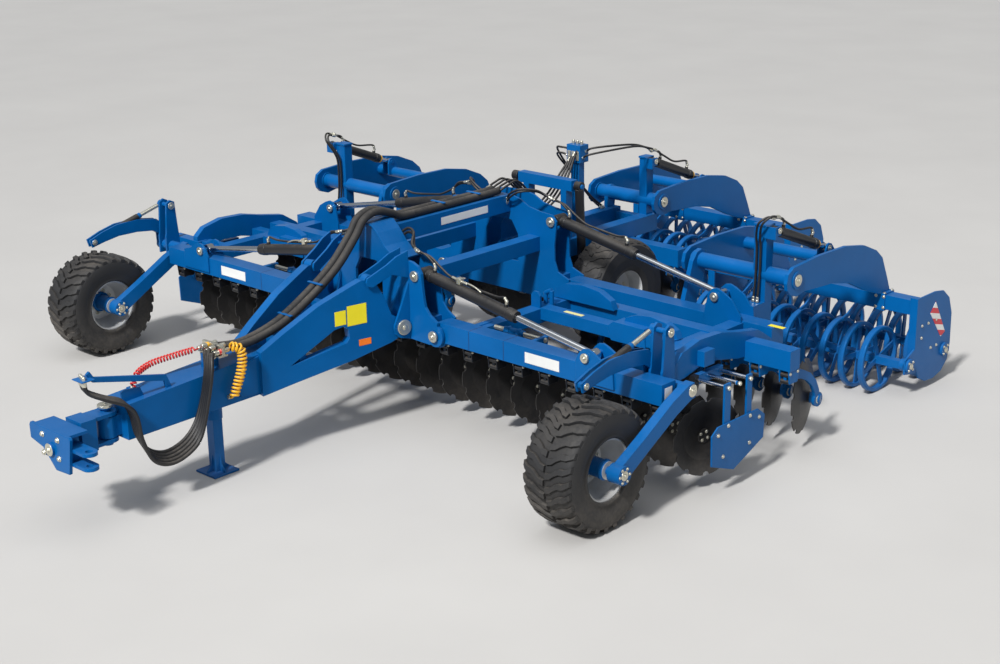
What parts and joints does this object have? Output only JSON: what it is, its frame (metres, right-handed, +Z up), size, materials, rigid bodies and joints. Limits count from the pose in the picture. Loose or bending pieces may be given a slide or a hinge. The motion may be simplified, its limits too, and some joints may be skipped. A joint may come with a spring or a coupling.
{
  "type": "folding trailed disc harrow",
  "caption": "Trailed compact disc harrow with two folding wings, notched disc gangs, support wheels, transport axle and tandem ring rollers.",
  "frame": {"origin": "centre of the jack foot's sole, on the ground under the drawbar", "axes": "+X to the machine's left, +Y from the hitch to the rear rollers, +Z up"},
  "size_m": [6.237, 7.99, 1.75],
  "materials": {
    "blue_paint": "gloss paint, worn at edges",
    "black_paint": "satin black paint",
    "disc_steel": "dark hardened steel",
    "rod_chrome": "polished",
    "zinc": "zinc plated",
    "hose_rubber": "matt rubber",
    "yellow_hose": "smooth",
    "red_hose": "smooth",
    "tyre_rubber": "matt tyre rubber",
    "rim_paint": "satin light grey"
  },
  "bodies": {
    "chassis": {"drawbar": "blue_paint", "front_tower": "blue_paint", "chassis_frame": "blue_paint", "centre_disc_arms": "blue_paint", "centre_discs": "disc_steel", "black_hoses": "hose_rubber", "coupler_rack": "zinc", "yellow_coil_hose": "yellow_hose", "red_coil_hose": "red_hose"},
    "hitch_swivel": {"hitch_swivel": "blue_paint"},
    "hitch_head": {"hitch_head": "blue_paint"},
    "jack_leg": {"jack_leg": "blue_paint"},
    "transport_axle": {"transport_axle": "blue_paint"},
    "left_road_wheel": {"left_road_wheel": "tyre_rubber"},
    "right_road_wheel": {"right_road_wheel": "tyre_rubber"},
    "lift_barrels": {"lift_barrels": "black_paint"},
    "lift_rods": {"lift_rods": "rod_chrome"},
    "centre_roller_frame": {"centre_roller_frame": "blue_paint"},
    "centre_front_drum": {"centre_front_drum": "blue_paint"},
    "centre_rear_drum": {"centre_rear_drum": "blue_paint"},
    "centre_depth_barrel": {"centre_depth_barrel": "black_paint"},
    "centre_depth_rod": {"centre_depth_rod": "rod_chrome"},
    "left_wing": {"left_wing_frame": "blue_paint", "left_disc_arms": "blue_paint", "left_discs": "disc_steel", "left_wheel_leg": "blue_paint"},
    "left_support_wheel": {"left_wheel_rim": "rim_paint", "left_wheel_tyre": "tyre_rubber"},
    "left_front_fold_barrel": {"left_front_fold_barrel": "black_paint"},
    "left_front_fold_rod": {"left_front_fold_rod": "rod_chrome"},
    "left_rear_fold_barrel": {"left_rear_fold_barrel": "black_paint"},
    "left_rear_fold_rod": {"left_rear_fold_rod": "rod_chrome"},
    "left_roller_frame": {"left_roller_frame": "blue_paint"},
    "left_front_drum": {"left_front_drum": "blue_paint"},
    "left_rear_drum": {"left_rear_drum": "blue_paint"},
    "left_depth_barrel": {"left_depth_barrel": "black_paint"},
    "left_depth_rod": {"left_depth_rod": "rod_chrome"},
    "right_wing": {"right_wing_frame": "blue_paint", "right_disc_arms": "blue_paint", "right_discs": "disc_steel", "right_wheel_leg": "blue_paint"},
    "right_support_wheel": {"right_wheel_rim": "rim_paint", "right_wheel_tyre": "tyre_rubber"},
    "right_front_fold_barrel": {"right_front_fold_barrel": "black_paint"},
    "right_front_fold_rod": {"right_front_fold_rod": "rod_chrome"},
    "right_rear_fold_barrel": {"right_rear_fold_barrel": "black_paint"},
    "right_rear_fold_rod": {"right_rear_fold_rod": "rod_chrome"},
    "right_roller_frame": {"right_roller_frame": "blue_paint"},
    "right_front_drum": {"right_front_drum": "blue_paint"},
    "right_rear_drum": {"right_rear_drum": "blue_paint"},
    "right_depth_barrel": {"right_depth_barrel": "black_paint"},
    "right_depth_rod": {"right_depth_rod": "rod_chrome"}
  },
  "joints": [
    {"name": "hitch_yaw", "type": "hinge", "parent": "chassis", "child": "hitch_swivel", "pos_m": [0, -0.88, 0.61], "axis": [0, 0, 1], "range_deg": [-60, 60]},
    {"name": "hitch_roll", "type": "hinge", "parent": "hitch_swivel", "child": "hitch_head", "pos_m": [0, -1.08, 0.61], "axis": [0, 1, 0], "range_deg": [-15, 15]},
    {"name": "jack_slide", "type": "slide", "parent": "chassis", "child": "jack_leg", "axis": [0, 0, 1], "range_m": [0, 0.22]},
    {"name": "transport_lower", "type": "hinge", "parent": "chassis", "child": "transport_axle", "pos_m": [0, 3.33, 0.82], "axis": [-1, 0, 0], "range_deg": [0, 28]},
    {"name": "left_road_spin", "type": "hinge", "parent": "transport_axle", "child": "left_road_wheel", "pos_m": [0.6, 3.8, 0.585], "axis": [1, 0, 0], "continuous": true},
    {"name": "right_road_spin", "type": "hinge", "parent": "transport_axle", "child": "right_road_wheel", "pos_m": [-0.6, 3.8, 0.585], "axis": [1, 0, 0], "continuous": true},
    {"name": "lift_barrel_swing", "type": "hinge", "parent": "chassis", "child": "lift_barrels", "pos_m": [0, 3.6, 1.5], "axis": [-1, 0, 0], "range_deg": [-1, 4.66]},
    {"name": "lift_rod_slide", "type": "slide", "parent": "lift_barrels", "child": "lift_rods", "axis": [0, 0.0571, -0.9984], "range_m": [-0.005, 0.14707]},
    {"name": "centre_roller_pitch", "type": "hinge", "parent": "chassis", "child": "centre_roller_frame", "pos_m": [0, 4.71, 1.165], "axis": [1, 0, 0], "range_deg": [-5, 8]},
    {"name": "centre_front_drum_spin", "type": "hinge", "parent": "centre_roller_frame", "child": "centre_front_drum", "pos_m": [0, 5.84, 0.27], "axis": [1, 0, 0], "continuous": true},
    {"name": "centre_rear_drum_spin", "type": "hinge", "parent": "centre_roller_frame", "child": "centre_rear_drum", "pos_m": [0, 6.39, 0.27], "axis": [1, 0, 0], "continuous": true},
    {"name": "centre_depth_barrel_swing", "type": "hinge", "parent": "chassis", "child": "centre_depth_barrel", "pos_m": [0.28, 4.67, 1.526], "axis": [1, 0, 0], "range_deg": [-4.95, 7.33]},
    {"name": "centre_depth_rod_slide", "type": "slide", "parent": "centre_depth_barrel", "child": "centre_depth_rod", "axis": [0, 0.9298, -0.3682], "range_m": [-0.05002, 0.03276]},
    {"name": "left_wing_fold", "type": "hinge", "parent": "chassis", "child": "left_wing", "pos_m": [0.698, 2.3855, 0.784], "axis": [0, -1, 0], "range_deg": [0, 85]},
    {"name": "left_support_wheel_spin", "type": "hinge", "parent": "left_wing", "child": "left_support_wheel", "pos_m": [2.596, 1.053, 0.437], "axis": [1, 0, 0], "continuous": true},
    {"name": "left_front_fold_barrel_swing", "type": "hinge", "parent": "chassis", "child": "left_front_fold_barrel", "pos_m": [0.507, 1.645, 1.214], "axis": [0, -1, 0], "range_deg": [-1, 91.45]},
    {"name": "left_front_fold_rod_slide", "type": "slide", "parent": "left_front_fold_barrel", "child": "left_front_fold_rod", "axis": [0.9861, 0, -0.166], "range_m": [-0.62819, 0.005]},
    {"name": "left_rear_fold_barrel_swing", "type": "hinge", "parent": "chassis", "child": "left_rear_fold_barrel", "pos_m": [0.542, 3.126, 1.34], "axis": [0, -1, 0], "range_deg": [-1, 99.49]},
    {"name": "left_rear_fold_rod_slide", "type": "slide", "parent": "left_rear_fold_barrel", "child": "left_rear_fold_rod", "axis": [0.9821, 0, -0.1885], "range_m": [-0.72981, 0.005]},
    {"name": "left_roller_pitch", "type": "hinge", "parent": "left_wing", "child": "left_roller_frame", "pos_m": [2.15, 3.4, 1.165], "axis": [1, 0, 0], "range_deg": [-5, 8]},
    {"name": "left_front_drum_spin", "type": "hinge", "parent": "left_roller_frame", "child": "left_front_drum", "pos_m": [1.96, 4.53, 0.27], "axis": [1, 0, 0], "continuous": true},
    {"name": "left_rear_drum_spin", "type": "hinge", "parent": "left_roller_frame", "child": "left_rear_drum", "pos_m": [1.96, 5.08, 0.27], "axis": [1, 0, 0], "continuous": true},
    {"name": "left_depth_barrel_swing", "type": "hinge", "parent": "left_wing", "child": "left_depth_barrel", "pos_m": [2.45, 3.36, 1.526], "axis": [1, 0, 0], "range_deg": [-4.95, 7.33]},
    {"name": "left_depth_rod_slide", "type": "slide", "parent": "left_depth_barrel", "child": "left_depth_rod", "axis": [0, 0.9298, -0.3682], "range_m": [-0.05002, 0.03276]},
    {"name": "right_wing_fold", "type": "hinge", "parent": "chassis", "child": "right_wing", "pos_m": [-0.698, 2.3855, 0.784], "axis": [0, 1, 0], "range_deg": [0, 85]},
    {"name": "right_support_wheel_spin", "type": "hinge", "parent": "right_wing", "child": "right_support_wheel", "pos_m": [-2.973, 1.053, 0.437], "axis": [1, 0, 0], "continuous": true},
    {"name": "right_front_fold_barrel_swing", "type": "hinge", "parent": "chassis", "child": "right_front_fold_barrel", "pos_m": [-0.507, 1.645, 1.214], "axis": [0, 1, 0], "range_deg": [-1, 91.45]},
    {"name": "right_front_fold_rod_slide", "type": "slide", "parent": "right_front_fold_barrel", "child": "right_front_fold_rod", "axis": [-0.9861, 0, -0.166], "range_m": [-0.62819, 0.005]},
    {"name": "right_rear_fold_barrel_swing", "type": "hinge", "parent": "chassis", "child": "right_rear_fold_barrel", "pos_m": [-0.542, 3.126, 1.34], "axis": [0, 1, 0], "range_deg": [-1, 99.49]},
    {"name": "right_rear_fold_rod_slide", "type": "slide", "parent": "right_rear_fold_barrel", "child": "right_rear_fold_rod", "axis": [-0.9821, 0, -0.1885], "range_m": [-0.72981, 0.005]},
    {"name": "right_roller_pitch", "type": "hinge", "parent": "right_wing", "child": "right_roller_frame", "pos_m": [-2.15, 3.4, 1.165], "axis": [1, 0, 0], "range_deg": [-5, 8]},
    {"name": "right_front_drum_spin", "type": "hinge", "parent": "right_roller_frame", "child": "right_front_drum", "pos_m": [-1.96, 4.53, 0.27], "axis": [1, 0, 0], "continuous": true},
    {"name": "right_rear_drum_spin", "type": "hinge", "parent": "right_roller_frame", "child": "right_rear_drum", "pos_m": [-1.96, 5.08, 0.27], "axis": [1, 0, 0], "continuous": true},
    {"name": "right_depth_barrel_swing", "type": "hinge", "parent": "right_wing", "child": "right_depth_barrel", "pos_m": [-2.45, 3.36, 1.526], "axis": [1, 0, 0], "range_deg": [-4.95, 7.33]},
    {"name": "right_depth_rod_slide", "type": "slide", "parent": "right_depth_barrel", "child": "right_depth_rod", "axis": [0, 0.9298, -0.3682], "range_m": [-0.05002, 0.03276]}
  ],
  "couplings": [
    {"joint": "lift_barrel_swing", "follows": "transport_lower", "ratio": 0.13058},
    {"joint": "lift_rod_slide", "follows": "transport_lower", "m_per_rad": 0.29072},
    {"joint": "centre_depth_barrel_swing", "follows": "centre_roller_pitch", "ratio": 0.7908},
    {"joint": "centre_depth_rod_slide", "follows": "centre_roller_pitch", "m_per_rad": -0.32958},
    {"joint": "left_front_fold_barrel_swing", "follows": "left_wing_fold", "ratio": 1.0642},
    {"joint": "left_front_fold_rod_slide", "follows": "left_wing_fold", "m_per_rad": -0.42007},
    {"joint": "left_rear_fold_barrel_swing", "follows": "left_wing_fold", "ratio": 1.1587},
    {"joint": "left_rear_fold_rod_slide", "follows": "left_wing_fold", "m_per_rad": -0.48857},
    {"joint": "left_depth_barrel_swing", "follows": "left_roller_pitch", "ratio": 0.7908},
    {"joint": "left_depth_rod_slide", "follows": "left_roller_pitch", "m_per_rad": -0.32958},
    {"joint": "right_front_fold_barrel_swing", "follows": "right_wing_fold", "ratio": 1.0642},
    {"joint": "right_front_fold_rod_slide", "follows": "right_wing_fold", "m_per_rad": -0.42007},
    {"joint": "right_rear_fold_barrel_swing", "follows": "right_wing_fold", "ratio": 1.1587},
    {"joint": "right_rear_fold_rod_slide", "follows": "right_wing_fold", "m_per_rad": -0.48857},
    {"joint": "right_depth_barrel_swing", "follows": "right_roller_pitch", "ratio": 0.7908},
    {"joint": "right_depth_rod_slide", "follows": "right_roller_pitch", "m_per_rad": -0.32958}
  ]
}
